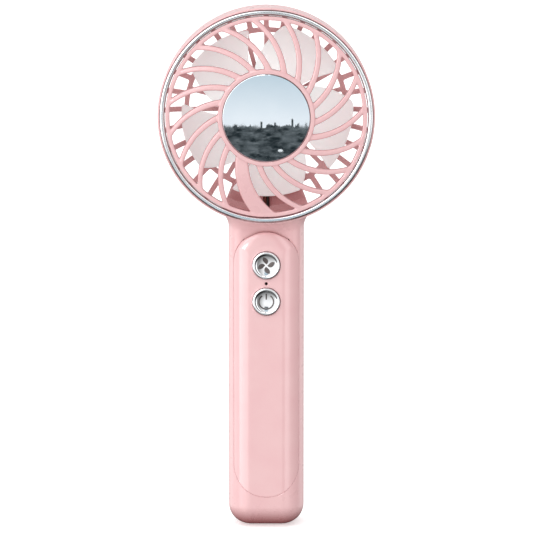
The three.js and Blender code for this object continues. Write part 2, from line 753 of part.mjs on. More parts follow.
// ---- Assembly -----------------------------------------------------------------------------
function makeCasing() {
  place(fan, "front_shell", frontShell(), pinkPlastic);
  place(fan, "rear_shell", rearShell(), pinkPlastic);
  place(fan, "front_panel", frontPanel(), pinkPlastic);
  place(head, "front_grille", frontGrille(), pinkPlastic);
  place(head, "chrome_ring", chromeRing(), chrome);
  place(head, "mirror_pad", turned([[0, -20], [17, -20], [17, -19.5], [0, -19.5]], 24), foamGrey);
  const mirrorEdge = [
    [0, mirrorFrontY], [mirrorR - 0.3, mirrorFrontY], [mirrorR, mirrorFrontY + 0.3],
    [mirrorR, mirrorFrontY + 1.5], [0, mirrorFrontY + 1.5],
  ];
  place(head, "mirror", turned(mirrorEdge, 48), mirrorGlass);
  const cap = [[0, 12.3], [10, 12.3], [10, 12.9], [9.4, 13.4], [0, 13.5]];
  place(head, "rear_hub_cap", turned(cap, 32), pinkPlastic);
  const screw = turned([
    [0, 6], [0.8, 6], [0.8, -9.7], [1.8, -9.7], [1.8, -10.9], [0, -10.9],
  ], 10);
  screwPlaces.forEach(([x, z], i) => {
    place(fan, `case_screw_${i + 1}`, screw, steel, [x, 0, z]);
  });
}

makeCasing();
makeRotor();
makeMotor();
makeMotorWires();
makeControls();
makeCharging();
makeBattery();

export default fan;
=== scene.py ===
"""Looks for a handheld electric fan: moulded skins, chrome, mirror and studio round the CAD frame.

Lengths are in millimetres until a mesh is made, and metres in Blender. X is across, -Y is the
front of the fan and Z is up. The fan axis is parallel to Y. Moulded pieces are written as fields:
functions of x, y and z that are the distance to the surface, negative inside.
"""

import json
import math

import bmesh
import bpy
import numpy as np
import openvdb as vdb
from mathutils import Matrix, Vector


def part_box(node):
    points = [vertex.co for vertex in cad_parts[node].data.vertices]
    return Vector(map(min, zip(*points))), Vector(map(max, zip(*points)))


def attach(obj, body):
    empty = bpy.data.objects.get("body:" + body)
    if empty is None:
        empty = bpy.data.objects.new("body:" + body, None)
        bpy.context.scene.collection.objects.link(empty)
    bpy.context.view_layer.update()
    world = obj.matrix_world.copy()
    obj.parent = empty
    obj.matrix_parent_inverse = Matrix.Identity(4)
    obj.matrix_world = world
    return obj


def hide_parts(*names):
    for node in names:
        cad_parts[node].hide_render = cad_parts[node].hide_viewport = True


MM = 0.001
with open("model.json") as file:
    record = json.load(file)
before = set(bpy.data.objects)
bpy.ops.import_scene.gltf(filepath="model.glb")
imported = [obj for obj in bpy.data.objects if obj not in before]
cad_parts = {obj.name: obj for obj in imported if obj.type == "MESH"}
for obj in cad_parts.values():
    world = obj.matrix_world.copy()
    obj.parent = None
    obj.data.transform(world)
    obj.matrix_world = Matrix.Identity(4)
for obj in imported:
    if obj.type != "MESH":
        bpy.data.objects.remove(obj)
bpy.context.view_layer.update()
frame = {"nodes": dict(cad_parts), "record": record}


def node_box(node):
    """Lowest and highest corner of a CAD node in millimetres."""
    low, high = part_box(node)
    return np.array(low) / MM, np.array(high) / MM


# ---- Dimensions, from the frame where a CAD node gives them -------------------------------------
mirror_low, mirror_high = node_box("mirror")
ring_low, ring_high = node_box("chrome_ring")
front_low, front_high = node_box("front_shell")
rear_low, rear_high = node_box("rear_shell")
panel_low, panel_high = node_box("front_panel")
guard_low, guard_high = node_box("front_grille")
blades_low, blades_high = node_box("impeller")
speed_low, speed_high = node_box("speed_button")
power_low, power_high = node_box("power_button")
led_low, led_high = node_box("led_lens")
cap_low, cap_high = node_box("rear_hub_cap")
usb_low, usb_high = node_box("usb_socket_shell")

AXIS_Z = (mirror_low[2] + mirror_high[2]) / 2
MIRROR_R = (mirror_high[0] - mirror_low[0]) / 2
RING_R = ring_high[0]
RING_SEAT_Y = ring_high[1] + 0.3
SEAM_Y = front_high[1] + 0.15
SEAM_GAP = 0.02

# Rounding of edges, from the softest to the crispest
SOFT_EDGE = 0.4
EDGE = 0.3
FINE_EDGE = 0.25
CRISP_EDGE = 0.2
PANEL_EDGE = 0.05

# Handle and neck
HANDLE_HALF_WIDTH = 15.5
HANDLE_HALF_DEPTH = rear_high[1]
HANDLE_CORNER = 9.5
FOOT_ROUND = 8.5
SHELL_WALL = 1.9
CAVITY_TOP_Z = 124
FRONT_CAVITY_FOOT = 5.3
REAR_CAVITY_FOOT = 6.5
NECK_TOP_Z = 141
NECK_FRONT_Y = -11
NECK_STEP_Z = 105
NECK_STEP_ROUND = 1.6
NECK_FILLET = 5

# Front panel, its seat in the front shell and the holes through both
PANEL_HALF_WIDTH = panel_high[0]
PANEL_TOP_Z = 123.6
PANEL_FOOT_Z = panel_low[2]
PANEL_WALL = 1.8
PANEL_BACK_Y = -4
SHOULDER_REACH = 6.3
SHOULDER_DROP = 2.55
RECESS_DRAFT = 0.4
RECESS_GAP = 0.3
STEM_HOLE_R = 2.2
STEM_HOLE_BACK_Y = -8
BUTTON_GAP = 0.16
BUTTON_HOLE_EDGE = 0.35
LED_HOLE_R = 0.6
LED_HOLE_EDGE = 0.15

# Drum of the head
DRUM_FRONT_R = front_high[0]
DRUM_REAR_R = rear_high[0]
DRUM_FRONT_Y = front_low[1]
DRUM_BACK_Y = 13
DRUM_BACK_SLOPE = 0.06
DRUM_BACK_ROUND = 8.5
DRUM_LIP_ROUND = 0.7
DRUM_WALL = 1.8
RING_LEDGE = 1.5
RING_GAP = 0.12
GUARD_GAP = 0.5

# Rear cage, the solid block over the handle, and the motor's seat
CAGE_RING_R = 32.8
CAGE_RING_HALF_WIDTH = 1
CAGE_START_Y = 3
CAGE_START_ROUND = 0.8
OUTER_BARS = 32
OUTER_BAR_WIDTH = 2.1
INNER_BARS = 24
INNER_BAR_WIDTH = 1.8
BAR_FILLET = 0.7
HUB_SEAT_R = 14
HUB_SEAT_Y = 10.4
HUB_SEAT_LIP = 0.4
HUB_FILLET = 0.8
CAP_SEAT_Y = 12
CAP_GAP = 0.15
NECK_BLOCK_ANGLE = math.radians(23.5)
NECK_BLOCK_Y = 8
STRUT_HALF_WIDTH = 4.6
STRUT_FILLET = 1.5
WIRE_SLOT_HALF_WIDTH = 1.3
WIRE_SLOT_BACK_Y = 10.3
WIRE_SLOT_TOP = -11
WIRE_RIDGE_X = 1.75
WIRE_RIDGE_HALF_WIDTH = 0.25
WIRE_RIDGE_ENDS = (-41, -34.5)
USB_GAP = 0.25
USB_ROUND = 1.8
USB_FRONT_Y = 9

# Front guard
GUARD_HUB_R = 19.7
GUARD_HUB_FRONT_Y = guard_low[1]
GUARD_HUB_BACK_Y = -17.2
GUARD_HUB_ROUND = 0.6
GUARD_RIM_R = guard_high[0]
GUARD_RIM_HALF_WIDTH = 0.825
GUARD_RIM_FRONT_Y = -18.05
GUARD_RIM_BACK_Y = -14.5
GUARD_FILLET = 0.35
MIRROR_GAP = 0.15
MIRROR_POCKET_Y = -19.2
DOME_RIM_Y = -17.8
DOME_HEIGHT = 3.4
DOME_POWER = 1.6
RIB_COUNT = 18
RIB_STEP = math.radians(18.57)
RIB_FIRST = math.radians(336.8)
RIB_ARC_R = 28.7
RIB_ARC_OFFSET = 26.6
RIB_DEPTH = 3
RIB_WIDTH = 2.45
RIB_TAPER = 0.5
RIB_ROUND = 0.8
RIB_HUB_FILLET = 1.1
RIB_RIM_FILLET = 0.8
WIDE_RIB = math.radians(315)
WIDE_RIB_WIDTH = 5.4
WIDE_RIB_FLARE = 1.7
WIDE_RIB_ROUND = 1.0

# Impeller: a blade's edges are straight lines from its root, in degrees and degrees per millimetre
BLADE_COUNT = 5
BLADE_ROOT_R = 18.4
TRAILING_ANGLE = 38.9
TRAILING_SWEEP = 0.58
LEADING_ANGLE = 104.5
LEADING_SWEEP = 1.53
BLADE_TIP_R = 34.5
BLADE_TIP_FLARE = 1.4
BLADE_TIP_ROUND = 1.2
BLADE_FRONT_Y = -2.5
BLADE_DEPTH = 9
BLADE_CAMBER = 1.2
BLADE_HALF_THICKNESS = 0.55
BLADE_SLANT = 0.92
BLADE_FILLET = 0.9
BLADE_INNER_R = 12
ROTOR_HUB_R = 13
ROTOR_HUB_ENDS = (-7.4, 6.4)
ROTOR_HUB_ROUND = 1.2
ROTOR_CUP_R = 11.3
ROTOR_CUP_FRONT_Y = -5.6

# Buttons and their icons
BUTTON_R = speed_high[0]
DISH_R = 4.25
DISH_DEPTH = 0.75
DISH_CURVE = 0.3
ICON_SINK = 0.1
ICON_RISE = 0.06
ICON_BLADES = 4
ICON_RING = (2.7, 3.28)
ICON_RING_GAP = 34
ICON_BAR_HALF_WIDTH = 0.29
ICON_BAR_ENDS = (0.9, 3.35)

# ---- Camera, in metres and radians ------------------------------------------------------------------
CAMERA_ELEVATION = math.radians(9.1)
CAMERA_DISTANCE = 1.5
CAMERA_AIM = (0, 0, 0.107)
CAMERA_LENS = 246

# ---- Studio levels: white paper is 1 ----------------------------------------------------------------
# Brightness of the reflected studio by direction round the fan: 0 is the front, negative the left
STUDIO_STRIPS = (
    (-180, 0.8), (-150, 0.8), (-122, 2.4), (-112, 2.0), (-94, 2.2), (-68, 1.8), (-61, 5.0),
    (-40, 4.0), (-18, 2.9), (-15, 1.3), (3, 1.25), (12, 0.3), (17, 0.6), (24, 2.2), (38, 2.1),
    (50, 0.6), (72, 0.08), (98, 0.12), (112, 2.2), (122, 2.0), (150, 0.8), (180, 0.8),
)
FADE_HEIGHTS = (-0.5, -0.12)
FADE_LEVEL = 0.06
WINDOW_DIRECTION = (33, 12)
WINDOW_HALF_ANGLE = 8
WINDOW_LEVEL = 10.0
DIFFUSE_LEVEL = 0.85
DIFFUSE_FROM_FRONT = 0.20
DIFFUSE_FROM_LEFT = 0.30
DIFFUSE_FROM_ABOVE = 0.17

# ---- Stage, in metres: the floor, the key light and the card with the mirror's view ----------------
FLOOR_HALF = 6
FLOOR_Z = -0.0003
FLOOR_GLOW = 0.45
KEY_PLACE = (-0.5, -1.0, 1.2)
KEY_AIM = (0, 0, 0.12)
KEY_SIZE = 0.8
KEY_WATTS = 0.6
CARD_Y = -0.62
CARD_Z = 0.1
CARD_HALF = 0.03

# Heights of the view on the card, as shares of CARD_HALF above its middle
SKY_HEIGHT = 4.0
HORIZON_DROP = 0.15
ROOF_HEIGHT = 0.34
TOWER_HEIGHT = 0.13
TOWER_WIDTH = 0.0011
TOWER_RARITY = 9.0
POND_CENTRE = (0.008, 0.0815)
POND_REACH = (0.0014, 0.0008)


# ---- Fields ---------------------------------------------------------------------------------------
def join(a, b, radius=0):
    """Union of two fields, with a fillet of that radius in the corner between them."""
    if np.isscalar(radius) and radius == 0:
        return np.minimum(a, b)
    bulge = np.hypot(np.maximum(radius - a, 0), np.maximum(radius - b, 0))
    return np.maximum(radius, np.minimum(a, b)) - bulge


def meet(a, b, radius=0):
    """Intersection of two fields, with the edge between them rounded to that radius."""
    if np.isscalar(radius) and radius == 0:
        return np.maximum(a, b)
    bulge = np.hypot(np.maximum(radius + a, 0), np.maximum(radius + b, 0))
    return np.minimum(-radius, np.maximum(a, b)) + bulge


def between(value, low, high):
    return np.maximum(low - value, value - high)


def rounded_rectangle(u, v, half_u, half_v, radius):
    a = np.abs(u) - half_u + radius
    b = np.abs(v) - half_v + radius
    return np.hypot(np.maximum(a, 0), np.maximum(b, 0)) + np.minimum(np.maximum(a, b), 0) - radius


def stadium(x, z, half_width, foot, top):
    nearest = np.clip(z, foot + half_width, top - half_width)
    return np.hypot(x, z - nearest) - half_width


def arch(x, z, half_width, top):
    nearest = np.minimum(z, top - half_width)
    return np.hypot(x, z - nearest) - half_width


def fold(angle, count):
    """The angle to the nearest of count equal directions."""
    pitch = 2 * np.pi / count
    return np.mod(angle + pitch / 2, pitch) - pitch / 2


def bars(x, up, count, width):
    """Straight bars out from the axis."""
    radius = np.hypot(x, up)
    return np.abs(radius * np.sin(fold(np.arctan2(up, x), count))) - width / 2


def handle_column(x, y, z, inset=0.0):
    section = rounded_rectangle(
        x, y, HANDLE_HALF_WIDTH - inset, HANDLE_HALF_DEPTH - inset, HANDLE_CORNER - inset
    )
    return meet(section, between(z, inset, NECK_TOP_Z - inset), FOOT_ROUND - inset)


def drum(y, radius):
    """The head's filled outside: a cylinder with a broad round into its shallow rear cone."""
    taper = (DRUM_FRONT_R - DRUM_REAR_R) * np.clip((SEAM_Y - y) / (SEAM_Y - DRUM_FRONT_Y), 0, 1)
    side = radius - DRUM_REAR_R - taper
    rear = y - DRUM_BACK_Y + DRUM_BACK_SLOPE * np.maximum(radius - HUB_SEAT_R, 0)
    return meet(meet(side, rear, DRUM_BACK_ROUND), DRUM_FRONT_Y - y, DRUM_LIP_ROUND)


def neck_plan(x, up):
    """The cage's solid part above the handle, and the strut from it to the hub."""
    radius = np.hypot(x, up)
    sector = np.abs(x) * math.cos(NECK_BLOCK_ANGLE) + up * math.sin(NECK_BLOCK_ANGLE)
    sector = np.maximum(sector, CAGE_RING_R - CAGE_RING_HALF_WIDTH - radius)
    strut = np.maximum(np.abs(x) - STRUT_HALF_WIDTH, between(up, -CAGE_RING_R, 1 - HUB_SEAT_R))
    return join(sector, strut, STRUT_FILLET)


def cage_plan(x, up):
    """The cage seen from behind: bars outside and inside a ring, the hub and the neck's block."""
    radius = np.hypot(x, up)
    ring = np.abs(radius - CAGE_RING_R) - CAGE_RING_HALF_WIDTH
    outer = np.maximum(bars(x, up, OUTER_BARS, OUTER_BAR_WIDTH), CAGE_RING_R - radius)
    inner = np.maximum(bars(x, up, INNER_BARS, INNER_BAR_WIDTH), radius - CAGE_RING_R)
    spokes = join(inner, radius - HUB_SEAT_R - HUB_SEAT_LIP, HUB_FILLET)
    return join(join(join(ring, outer, BAR_FILLET), spokes, BAR_FILLET), neck_plan(x, up))


def handle_cavity(x, y, z, inset, foot_round):
    """The hollow inside the handle, below the solid neck."""
    section = rounded_rectangle(
        x, y, HANDLE_HALF_WIDTH - inset, HANDLE_HALF_DEPTH - inset, HANDLE_CORNER - inset
    )
    return meet(section, between(z, inset, CAVITY_TOP_Z), foot_round)


def wire_slot(x, y, up):
    """The slot up the neck's block that the motor wires run in."""
    depth = between(y, NECK_BLOCK_Y - 2, WIRE_SLOT_BACK_Y)
    length = between(up, CAVITY_TOP_Z - 3 - AXIS_Z, WIRE_SLOT_TOP)
    return np.maximum(np.maximum(np.abs(x) - WIRE_SLOT_HALF_WIDTH, depth), length)


def wire_ridge(x, y, up):
    """A fine raised line beside the wire slot."""
    depth = between(y, NECK_BLOCK_Y - 0.4, NECK_BLOCK_Y + 1)
    width = np.abs(x - WIRE_RIDGE_X) - WIRE_RIDGE_HALF_WIDTH
    return np.maximum(np.maximum(width, depth), between(up, *WIRE_RIDGE_ENDS))


def usb_opening(x, y, z):
    """The hole round the charging socket."""
    middle = (usb_low[2] + usb_high[2]) / 2
    half_height = (usb_high[2] - usb_low[2]) / 2
    plan = rounded_rectangle(x, z - middle, usb_high[0] + USB_GAP, half_height + USB_GAP, USB_ROUND)
    return np.maximum(plan, USB_FRONT_Y - y)


def rear_shell_field(x, y, z):
    up = z - AXIS_Z
    radius = np.hypot(x, up)
    skin = drum(y, radius)
    body = np.maximum(join(handle_column(x, y, z), skin, NECK_FILLET), y - HANDLE_HALF_DEPTH)
    block = np.maximum(neck_plan(x, up), NECK_BLOCK_Y - y)
    seat = np.maximum(radius - HUB_SEAT_R, HUB_SEAT_Y - y)
    hollow = np.maximum(skin + DRUM_WALL, -np.minimum(block, seat))
    body = meet(body, -hollow, SOFT_EDGE)
    body = meet(body, join(cage_plan(x, up), y - CAGE_START_Y, CAGE_START_ROUND), EDGE)
    body = join(body, wire_ridge(x, y, up))
    body = meet(body, -handle_cavity(x, y, z, SHELL_WALL, REAR_CAVITY_FOOT), SOFT_EDGE)
    body = meet(body, -wire_slot(x, y, up), FINE_EDGE)
    body = meet(body, -np.maximum(radius - cap_high[0] - CAP_GAP, CAP_SEAT_Y - y), FINE_EDGE)
    body = meet(body, -usb_opening(x, y, z), EDGE)
    return meet(body, SEAM_Y + SEAM_GAP / 2 - y, CRISP_EDGE)


def button_hole(x, z, low, high, radius):
    """A round hole through to a button, whose box runs from low to high."""
    return np.hypot(x, z - (low[2] + high[2]) / 2) - radius


def panel_recess(x, y, z, column):
    """The front panel's seat, which narrows a little with depth."""
    plan = stadium(x, z, PANEL_HALF_WIDTH, PANEL_FOOT_Z, PANEL_TOP_Z) - RECESS_DRAFT * column
    floor = -handle_column(x, y, z, PANEL_WALL + RECESS_GAP)
    return np.maximum(np.maximum(plan, floor), y - PANEL_BACK_Y)


def front_shell_field(x, y, z):
    up = z - AXIS_Z
    radius = np.hypot(x, up)
    neck_cut = np.maximum(y - NECK_FRONT_Y, NECK_STEP_Z - z)
    column = meet(handle_column(x, y, z), -neck_cut, NECK_STEP_ROUND)
    body = join(column, drum(y, radius), NECK_FILLET)
    bore = np.maximum(radius - DRUM_REAR_R + DRUM_WALL, RING_SEAT_Y + RING_LEDGE - y)
    ledge = radius - GUARD_RIM_R - GUARD_GAP
    groove = np.maximum(radius - RING_R - RING_GAP, y - RING_SEAT_Y)
    body = meet(body, -np.minimum(np.minimum(bore, ledge), groove), EDGE)
    cavity = handle_cavity(x, y, z, SHELL_WALL + PANEL_WALL, FRONT_CAVITY_FOOT)
    body = meet(body, -cavity, SOFT_EDGE)
    body = meet(body, -panel_recess(x, y, z, column), PANEL_EDGE)
    for low, high in ((speed_low, speed_high), (power_low, power_high)):
        stem = np.maximum(button_hole(x, z, low, high, STEM_HOLE_R), y - STEM_HOLE_BACK_Y)
        body = meet(body, -stem, CRISP_EDGE)
    return meet(body, y - SEAM_Y + SEAM_GAP / 2, CRISP_EDGE)


def panel_field(x, y, z):
    plan = stadium(x, z, PANEL_HALF_WIDTH, PANEL_FOOT_Z, PANEL_TOP_Z)
    body = meet(handle_column(x, y, z), plan, PANEL_EDGE)
    face = -HANDLE_HALF_DEPTH - y
    flatten = SHOULDER_REACH / SHOULDER_DROP
    edge = arch(x, z, PANEL_HALF_WIDTH, PANEL_TOP_Z)
    body = np.maximum(body, meet(edge, face * flatten, SHOULDER_REACH) / flatten)
    body = meet(body, -handle_column(x, y, z, PANEL_WALL), EDGE)
    body = np.maximum(body, y - PANEL_BACK_Y)
    for low, high in ((speed_low, speed_high), (power_low, power_high)):
        body = meet(body, -button_hole(x, z, low, high, BUTTON_R + BUTTON_GAP), BUTTON_HOLE_EDGE)
    return meet(body, -button_hole(x, z, led_low, led_high, LED_HOLE_R), LED_HOLE_EDGE)


def rib_plan(x, up, direction, width):
    """A rib seen from the front: an arc whose centre lies off the axis in that direction."""
    centre_x = RIB_ARC_OFFSET * math.cos(direction)
    centre_up = RIB_ARC_OFFSET * math.sin(direction)
    band = np.abs(np.hypot(x - centre_x, up - centre_up) - RIB_ARC_R) - width / 2
    wanted_side = (centre_x * up - centre_up * x) / RIB_ARC_OFFSET
    return np.maximum(band, wanted_side)


def guard_ribs(x, y, up, reach):
    """Thin ribs with a full round top, and one wide rib with a flat face."""
    radius = np.hypot(x, up)
    front = DOME_RIM_Y - DOME_HEIGHT * (1 - reach ** DOME_POWER)
    slab = between(y, front, front + RIB_DEPTH)
    width = RIB_WIDTH - RIB_TAPER * reach
    thin = rib_plan(x, up, RIB_FIRST, width)
    for i in range(1, RIB_COUNT):
        thin = np.minimum(thin, rib_plan(x, up, RIB_FIRST + i * RIB_STEP, width))
    thin = join(thin, radius - GUARD_HUB_R + 0.3, RIB_HUB_FILLET)
    thin = join(thin, GUARD_RIM_R - 1.5 - radius, RIB_RIM_FILLET)
    wide = rib_plan(x, up, WIDE_RIB, WIDE_RIB_WIDTH + WIDE_RIB_FLARE * reach)
    ribs = join(meet(thin, slab, RIB_ROUND), meet(wide, slab, WIDE_RIB_ROUND), 0.3)
    return np.maximum(ribs, radius - GUARD_RIM_R + 0.4)


def guard_field(x, y, z):
    up = z - AXIS_Z
    radius = np.hypot(x, up)
    reach = np.clip((radius - GUARD_HUB_R) / (GUARD_RIM_R - GUARD_HUB_R), 0, 1)
    hub_depth = between(y, GUARD_HUB_FRONT_Y, GUARD_HUB_BACK_Y)
    hub = meet(radius - GUARD_HUB_R, hub_depth, GUARD_HUB_ROUND)
    rim_width = np.abs(radius - GUARD_RIM_R + GUARD_RIM_HALF_WIDTH) - GUARD_RIM_HALF_WIDTH
    rim = meet(rim_width, between(y, GUARD_RIM_FRONT_Y, GUARD_RIM_BACK_Y), SOFT_EDGE)
    body = join(join(guard_ribs(x, y, up, reach), hub, GUARD_FILLET), rim, GUARD_FILLET)
    pocket = np.maximum(radius - MIRROR_R - MIRROR_GAP, y - MIRROR_POCKET_Y)
    return meet(body, -pocket, EDGE)


def blade_field(x, y, up, turn):
    """One cambered blade: a thin sheet whose depth follows the chord between its two edges."""
    radius = np.hypot(x, up)
    trailing = np.radians(TRAILING_ANGLE - TRAILING_SWEEP * (radius - BLADE_ROOT_R))
    leading = np.radians(LEADING_ANGLE - LEADING_SWEEP * (radius - BLADE_ROOT_R))
    span = np.maximum(leading - trailing, 0.2)
    middle = (trailing + leading) / 2
    angle = np.mod(np.arctan2(up, x) - turn - middle + np.pi, 2 * np.pi) - np.pi
    chord = np.clip(angle / span + 0.5, -0.2, 1.2)
    on_blade = np.clip(chord, 0, 1)
    depth = BLADE_FRONT_Y + BLADE_DEPTH * chord + BLADE_CAMBER * np.sin(np.pi * on_blade)
    sheet = np.abs(y - depth) * BLADE_SLANT - BLADE_HALF_THICKNESS
    sides = np.abs(angle) * radius - span * radius / 2
    tip = radius - BLADE_TIP_R - BLADE_TIP_FLARE * on_blade
    return meet(sheet, meet(sides, tip, BLADE_TIP_ROUND), SOFT_EDGE)


def impeller_field(x, y, z):
    up = z - AXIS_Z
    radius = np.hypot(x, up)
    body = meet(radius - ROTOR_HUB_R, between(y, *ROTOR_HUB_ENDS), ROTOR_HUB_ROUND)
    for i in range(BLADE_COUNT):
        blade = blade_field(x, y, up, i * 2 * math.pi / BLADE_COUNT)
        body = join(body, np.maximum(blade, BLADE_INNER_R - radius), BLADE_FILLET)
    body = meet(body, between(y, blades_low[1], blades_high[1]))
    return meet(body, -np.maximum(radius - ROTOR_CUP_R, ROTOR_CUP_FRONT_Y - y), EDGE)


# ---- Meshes -----------------------------------------------------------------------------------------
def slope(field, points, reach=0.02):
    """Unit normals and field values at points."""
    x, y, z = points.T
    gradient = np.empty_like(points)
    gradient[:, 0] = field(x + reach, y, z) - field(x - reach, y, z)
    gradient[:, 1] = field(x, y + reach, z) - field(x, y - reach, z)
    gradient[:, 2] = field(x, y, z + reach) - field(x, y, z - reach)
    length = np.linalg.norm(gradient, axis=1)
    normal = gradient / np.maximum(length, 1e-9)[:, None]
    return normal, field(x, y, z), length / (2 * reach)


def onto_surface(field, points, limit):
    for _ in range(2):
        normal, value, steepness = slope(field, points)
        move = np.clip(value / np.maximum(steepness, 0.3), -limit, limit)
        points = points - normal * move[:, None]
    return points


def new_object(name, mesh):
    made = bpy.data.objects.new(name, mesh)
    bpy.context.scene.collection.objects.link(made)
    return made


def mould(name, field, low, high, step, faces):
    """A closed mesh of a field, thinned to about that many faces, its normals from the field."""
    starts = np.array(low) - 2 * step
    axes = [np.arange(a, b + 2.5 * step, step, dtype=np.float32) for a, b in zip(starts, high)]
    x = axes[0][:, None, None]
    y = axes[1][None, :, None]
    z = axes[2][None, None, :]
    values = np.broadcast_to(field(x, y, z), [len(axis) for axis in axes])
    grid = vdb.FloatGrid(3 * step)
    grid.copyFromArray(np.array(values, dtype=np.float32))
    points, quads = grid.convertToQuads(0.0)
    points = onto_surface(field, points.astype(float) * step + starts, step / 2)
    mesh = bpy.data.meshes.new(name)
    mesh.from_pydata((points * MM).tolist(), [], quads.tolist())
    made = new_object(name, mesh)
    thin = made.modifiers.new("thin", "DECIMATE")
    thin.ratio = min(1.0, faces / (2 * len(quads)))
    seen = made.evaluated_get(bpy.context.evaluated_depsgraph_get())
    made.data = bpy.data.meshes.new_from_object(seen)
    made.modifiers.clear()
    mesh = made.data
    corners = np.empty(len(mesh.vertices) * 3)
    mesh.vertices.foreach_get("co", corners)
    points = onto_surface(field, corners.reshape(-1, 3) / MM, step / 4)
    mesh.vertices.foreach_set("co", (points * MM).ravel())
    normal = slope(field, points)[0]
    mesh.shade_smooth()
    mesh.normals_split_custom_set_from_vertices(normal.tolist())
    mesh.update()
    return made


def turned(name, profile, height, segments=160, sharp=35):
    """A closed solid turned about a line parallel to Y, from (radius, y) pairs."""
    shape = bmesh.new()
    rings = []
    for radius, y in profile:
        if radius == 0:
            rings.append([shape.verts.new((0, y * MM, height * MM))])
            continue
        ring = []
        for i in range(segments):
            angle = 2 * math.pi * i / segments
            ring.append(shape.verts.new(
                (radius * math.cos(angle) * MM, y * MM, (height + radius * math.sin(angle)) * MM)
            ))
        rings.append(ring)
    pairs = list(zip(rings, rings[1:]))
    if len(rings[0]) > 1:
        pairs.append((rings[-1], rings[0]))
    for one, two in pairs:
        for i in range(segments):
            j = (i + 1) % segments
            corners = [one[i % len(one)], one[j % len(one)], two[j % len(two)], two[i % len(two)]]
            face = list(dict.fromkeys(corners))
            if len(face) > 2:
                shape.faces.new(face)
    bmesh.ops.recalc_face_normals(shape, faces=shape.faces)
    mesh = bpy.data.meshes.new(name)
    shape.to_mesh(mesh)
    shape.free()
    mesh.shade_smooth()
    mesh.set_sharp_from_angle(angle=math.radians(sharp))
    return new_object(name, mesh)


def rounded(profile, radius, steps=4):
    """The same profile with each listed corner replaced by a small arc."""
    result = []
    count = len(profile)
    for i, point in enumerate(profile):
        if point[0] == 0 or radius == 0:
            result.append(point)
            continue
        here = Vector(point)
        before = Vector(profile[i - 1]) - here
        after = Vector(profile[(i + 1) % count]) - here
        reach = min(radius, before.length * 0.45, after.length * 0.45)
        start = here + before.normalized() * reach
        end = here + after.normalized() * reach
        for k in range(steps + 1):
            t = k / steps
            curve = start * (1 - t) ** 2 + here * 2 * t * (1 - t) + end * t ** 2
            result.append((curve.x, curve.y))
    return result


# ---- Materials --------------------------------------------------------------------------------------
NOISE_RANGE = (0.3, 0.7)
MIX_FIRST, MIX_SECOND, MIX_RESULT = 6, 7, 2
# Painted shade: how far the occlusion mask looks, the range it darkens over, and how dark it paints
# cavities
CAVITY_SHADE_REACH = 0.018
CAVITY_SHADE_RANGE = (0.1, 0.78)
CAVITY_SHADE_DEPTH = 0.9
# Painted shade: the tint that darkens the side walls of the guard's ribs
RIB_WALL_SHADE_TINT = (0.62, 0.4, 0.42, 1)


def srgb(red, green, blue):
    """A colour given as 0 to 255, as the linear values that shaders take."""
    values = [channel / 255 for channel in (red, green, blue)]
    linear = [v / 12.92 if v <= 0.04045 else ((v + 0.055) / 1.055) ** 2.4 for v in values]
    return (*linear, 1)


def new_material(name):
    material = bpy.data.materials.new(name)
    material.use_nodes = True
    shader = material.node_tree.nodes["Principled BSDF"]
    return material, material.node_tree, shader


def add_math(tree, operation, first, second):
    """A math node; each input is a number or another node's output."""
    node = tree.nodes.new("ShaderNodeMath")
    node.operation = operation
    for socket, value in zip(node.inputs, (first, second)):
        if isinstance(value, (int, float)):
            socket.default_value = value
        else:
            tree.links.new(value, socket)
    return node.outputs["Value"]


def object_place(tree):
    return tree.nodes.new("ShaderNodeTexCoord").outputs["Object"]


def noise(tree, scale, detail=3.0):
    texture = tree.nodes.new("ShaderNodeTexNoise")
    texture.inputs["Scale"].default_value = scale
    texture.inputs["Detail"].default_value = detail
    tree.links.new(object_place(tree), texture.inputs["Vector"])
    return texture.outputs["Fac"]


def remap(tree, source, start, end, low=0.0, high=1.0, shape="LINEAR"):
    """The source's range from start to end, stretched to run from low to high."""
    ranged = tree.nodes.new("ShaderNodeMapRange")
    ranged.interpolation_type = shape
    for name, value in (("From Min", start), ("From Max", end), ("To Min", low), ("To Max", high)):
        ranged.inputs[name].default_value = value
    tree.links.new(source, ranged.inputs["Value"])
    return ranged.outputs["Result"]


def varied(tree, source, level, amount):
    """A level that a noise moves up and down by that share of itself."""
    return remap(tree, source, *NOISE_RANGE, level * (1 - amount), level * (1 + amount))


def colour_ramp(tree, source, *stops):
    """The colour at source between (position, colour) stops."""
    ramp = tree.nodes.new("ShaderNodeValToRGB")
    elements = ramp.color_ramp.elements
    for element, (position, colour) in zip(elements, stops):
        element.position = position
        element.color = colour
    for position, colour in stops[2:]:
        elements.new(position).color = colour
    tree.links.new(source, ramp.inputs["Fac"])
    return ramp.outputs["Color"]


def tinted(tree, source, dark, light):
    return colour_ramp(tree, source, (0.35, dark), (0.65, light))


def mix_colours(tree, factor, first, second, blend="MIX"):
    """Two colours mixed. A Mix node names them alike, so they go in by number."""
    node = tree.nodes.new("ShaderNodeMix")
    node.data_type = "RGBA"
    node.blend_type = blend
    tree.links.new(factor, node.inputs["Factor"])
    tree.links.new(first, node.inputs[MIX_FIRST])
    if isinstance(second, tuple):
        node.inputs[MIX_SECOND].default_value = second
    else:
        tree.links.new(second, node.inputs[MIX_SECOND])
    return node.outputs[MIX_RESULT]


def add_bump(tree, shader, source, strength, distance):
    bump = tree.nodes.new("ShaderNodeBump")
    bump.inputs["Strength"].default_value = strength
    bump.inputs["Distance"].default_value = distance
    tree.links.new(source, bump.inputs["Height"])
    tree.links.new(bump.outputs["Normal"], shader.inputs["Normal"])


